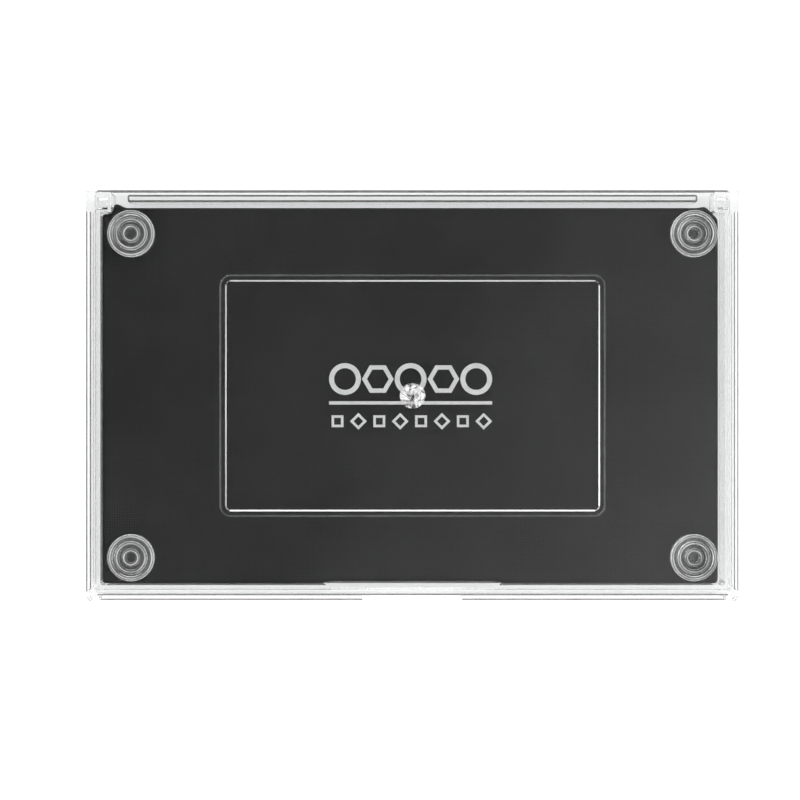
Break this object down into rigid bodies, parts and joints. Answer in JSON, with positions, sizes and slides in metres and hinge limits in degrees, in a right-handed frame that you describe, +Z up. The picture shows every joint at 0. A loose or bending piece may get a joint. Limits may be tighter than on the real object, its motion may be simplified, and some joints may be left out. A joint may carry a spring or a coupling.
{
  "type": "ink pad",
  "caption": "Flat rectangular ink pad: a black cloth-covered pad in a clear case whose hinged lid has a raised middle panel and round ring discs near its corners.",
  "frame": {"origin": "on the resting surface under the middle of the closed case", "axes": "+X along the case's length, +Y from the thumb notch to the hinge, +Z up"},
  "size_m": [0.138, 0.0864, 0.018],
  "materials": {
    "clear_plastic": "clear colourless hard polystyrene, polished",
    "soft_clear": "slightly cloudy clear soft plastic",
    "inked_cloth": "fine plain weave soaked in black ink, dull",
    "sponge": "fine open-cell sponge soaked in black ink",
    "black_plastic": "moulded black plastic, satin",
    "print_ink": "light grey screen-printing ink, matt",
    "tape": "double-sided paper tape"
  },
  "bodies": {
    "base_body": {"base_tray": "clear_plastic", "base_foot_front_left": "soft_clear", "base_foot_front_right": "soft_clear", "base_foot_back_left": "soft_clear", "base_foot_back_right": "soft_clear", "pad_cloth_cover": "inked_cloth", "pad_sponge_core": "sponge", "pad_backing_plate": "black_plastic", "pad_tape_left": "tape", "pad_tape_right": "tape"},
    "lid_body": {"lid": "clear_plastic", "lid_foot_front_left": "soft_clear", "lid_foot_front_right": "soft_clear", "lid_foot_back_left": "soft_clear", "lid_foot_back_right": "soft_clear"}
  },
  "joints": [
    {"name": "lid_hinge", "type": "hinge", "parent": "base_body", "child": "lid_body", "pos_m": [0, 0.04, 0.0095], "axis": [-1, 0, 0], "range_deg": [0, 125]}
  ]
}
